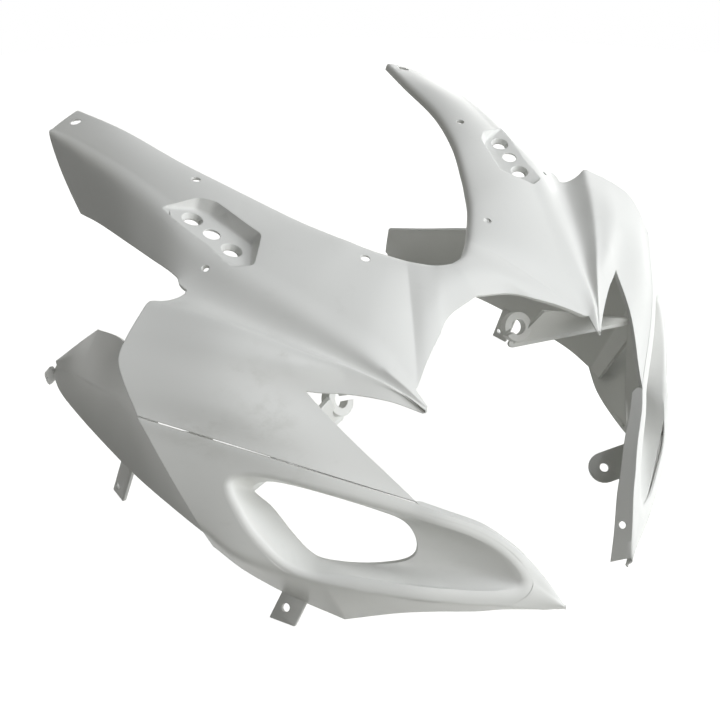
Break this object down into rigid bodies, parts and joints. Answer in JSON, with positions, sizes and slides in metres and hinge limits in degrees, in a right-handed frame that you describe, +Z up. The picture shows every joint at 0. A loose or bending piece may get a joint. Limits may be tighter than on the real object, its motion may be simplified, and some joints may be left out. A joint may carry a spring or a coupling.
{
  "type": "motorcycle front fairing",
  "caption": "Bare white moulded front fairing of a sport motorcycle with windscreen wings, brow, intake scoops and side panels.",
  "frame": {"origin": "centre of the footprint on the surface that the tabs stand on", "axes": "+X is the rider's left, -Y points forward along the motorcycle, +Z is up"},
  "size_m": [0.4992, 0.5189, 0.279],
  "materials": {
    "plastic": "semi-matte as moulded"
  },
  "bodies": {
    "root": {"upper_cowl": "plastic", "intake_panel_left": "plastic", "intake_panel_right": "plastic", "rear_panel_left": "plastic", "rear_panel_right": "plastic", "headlight_bracket_left": "plastic", "headlight_bracket_right": "plastic"}
  },
  "joints": []
}
